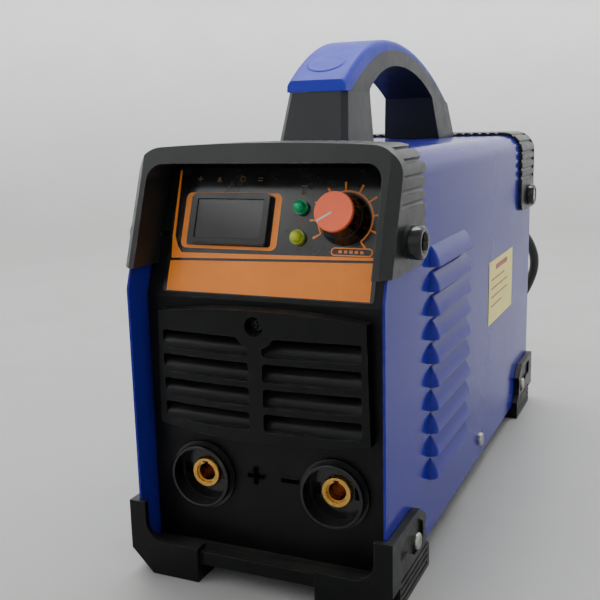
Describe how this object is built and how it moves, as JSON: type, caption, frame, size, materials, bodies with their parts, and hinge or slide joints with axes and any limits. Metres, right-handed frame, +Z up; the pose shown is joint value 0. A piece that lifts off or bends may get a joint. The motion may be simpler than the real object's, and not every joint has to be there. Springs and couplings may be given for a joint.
{
  "type": "tig welder",
  "caption": "Portable inverter welder: louvred sheet cover, carrying handle, current knob, digital meter and twist-lock output sockets.",
  "frame": {"origin": "under the middle of the machine, on the surface it stands on", "axes": "+X to the right when the control panel is faced, +Y from front to rear, +Z up"},
  "size_m": [0.1585, 0.5449, 0.2661],
  "materials": {
    "blue_paint": "glossy deep blue powder paint on sheet steel",
    "blue_plastic": "glossy blue moulding",
    "grey_plastic": "charcoal grained moulding with a soft sheen",
    "black_plastic": "black grained moulding",
    "winding_wire": "taped copper winding",
    "lead_rubber": "black rubber sheath",
    "knob_orange": "orange red cap",
    "white_line": "white pointer",
    "rocker_red": "red rocker",
    "label_print": "black control label with orange print",
    "yellow_sticker": "plain yellow sticker",
    "smoked_window": "smoked clear window",
    "display_face": "display module, unlit",
    "green_lens": "green translucent lamp",
    "yellow_lens": "yellow green translucent lamp",
    "brass": "turned brass",
    "copper": "copper strap",
    "zinc_steel": "black painted sheet steel",
    "chrome_wire": "plated wire",
    "screw_steel": "zinc plated screw",
    "dark_screw": "blackened screw",
    "circuit_board": "green circuit board",
    "aluminium_sink": "extruded aluminium",
    "ferrite": "ferrite",
    "capacitor_sleeve": "sleeved electrolytic capacitors"
  },
  "bodies": {
    "housing": {"base_tray": "zinc_steel", "board_standoffs": "brass", "bus_bars": "copper", "bus_capacitors": "capacitor_sleeve", "cable_gland": "black_plastic", "control_board": "circuit_board", "control_label": "label_print", "cover": "blue_paint", "display_module": "display_face", "earth_stud": "brass", "earth_wing_nut": "brass", "fan_frame": "black_plastic", "fan_guard": "chrome_wire", "fan_screws": "screw_steel", "front_bezel": "grey_plastic", "front_foot": "black_plastic", "front_panel": "black_plastic", "gland_nut": "black_plastic", "green_lamp": "green_lens", "grille_screw": "dark_screw", "handle_body": "grey_plastic", "handle_cap": "blue_plastic", "handle_screws": "screw_steel", "heat_sinks": "aluminium_sink", "lamp_holders": "black_plastic", "main_board": "circuit_board", "mains_coil": "lead_rubber", "mains_lead": "lead_rubber", "mains_tail": "lead_rubber", "meter_bezel": "black_plastic", "meter_window": "smoked_window", "moulding_screws": "screw_steel", "negative_socket_insert": "brass", "negative_socket_shell": "black_plastic", "output_choke": "ferrite", "plug_blades": "brass", "plug_body": "lead_rubber", "positive_socket_insert": "brass", "positive_socket_shell": "black_plastic", "pot_nut": "screw_steel", "potentiometer": "zinc_steel", "power_transistors": "black_plastic", "rear_band": "grey_plastic", "rear_foot": "black_plastic", "rear_panel": "zinc_steel", "rectifier_bridge": "black_plastic", "side_label": "yellow_sticker", "side_screws": "screw_steel", "socket_nuts": "black_plastic", "switch_body": "black_plastic", "transformer_core": "ferrite", "transformer_winding": "winding_wire", "vent_grille": "black_plastic", "yellow_lamp": "yellow_lens"},
    "current_knob": {"knob_body": "black_plastic", "knob_cap": "knob_orange", "knob_pointer": "white_line", "pot_shaft": "screw_steel"},
    "fan_rotor": {"fan_rotor": "black_plastic"},
    "rocker": {"switch_rocker": "rocker_red"}
  },
  "joints": [
    {"name": "current_knob_turn", "type": "hinge", "parent": "housing", "child": "current_knob", "pos_m": [0.0366, -0.16135, 0.18249], "axis": [0, 0.9397, -0.342], "range_deg": [0, 280]},
    {"name": "power_rocker_tilt", "type": "hinge", "parent": "housing", "child": "rocker", "pos_m": [-0.03, 0.163, 0.152], "axis": [1, 0, 0], "range_deg": [0, 16]},
    {"name": "fan_spin", "type": "hinge", "parent": "housing", "child": "fan_rotor", "pos_m": [0, 0.15, 0.066], "axis": [0, 1, 0], "continuous": true}
  ]
}
